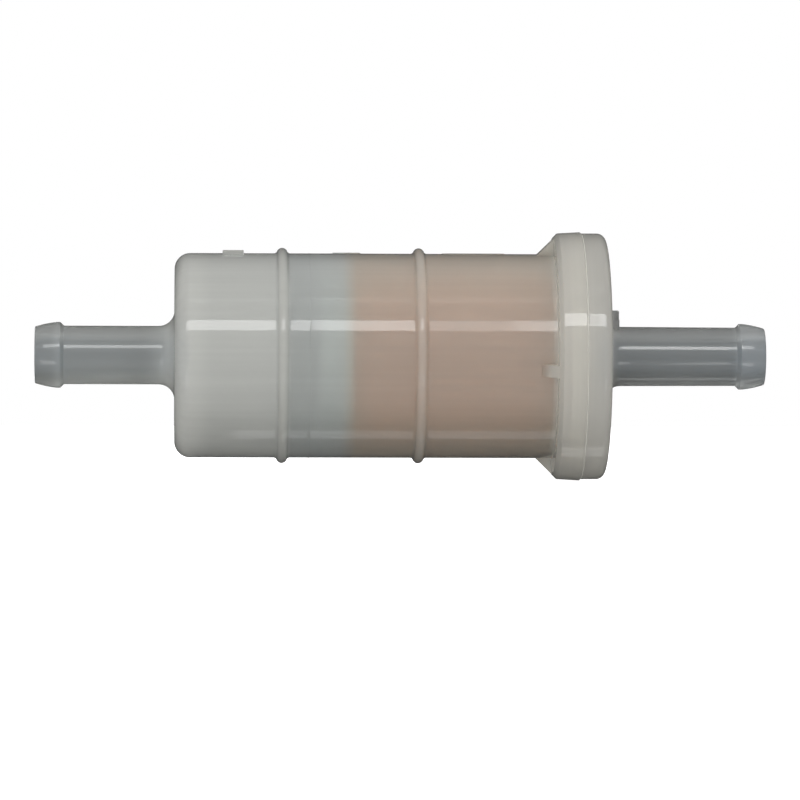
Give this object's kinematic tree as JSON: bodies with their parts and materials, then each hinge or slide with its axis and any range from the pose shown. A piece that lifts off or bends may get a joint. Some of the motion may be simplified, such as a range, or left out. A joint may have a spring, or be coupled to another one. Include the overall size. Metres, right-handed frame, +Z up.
{
  "type": "in-line fuel filter",
  "caption": "Translucent in-line fuel filter: round welded casing with hoops and a flange, barbed hose stem at each end, and a pleated paper element inside.",
  "frame": {"origin": "on the filter's axis, half-way between the two stem tips", "axes": "+X along the axis in the direction of flow, from the inlet stem to the outlet stem; +Z up, through the flow arrow"},
  "size_m": [0.1, 0.034, 0.034],
  "materials": {
    "housing_nylon": "translucent natural nylon, glossy skin",
    "weld_nylon": "remelted nylon, slightly rough",
    "element_plastic": "pale moulded plastic, satin",
    "filter_paper": "resin-treated pleated paper, matt",
    "potting_resin": "set adhesive, satin",
    "seal_rubber": "black nitrile rubber"
  },
  "bodies": {
    "root": {"casing": "housing_nylon", "cover": "housing_nylon", "weld_bead": "weld_nylon", "closed_end_cap": "element_plastic", "open_end_cap": "element_plastic", "core_tube": "element_plastic", "pleated_paper": "filter_paper", "seam_strip": "potting_resin", "inlet_potting": "potting_resin", "outlet_potting": "potting_resin", "spigot_seal": "seal_rubber"}
  },
  "joints": []
}
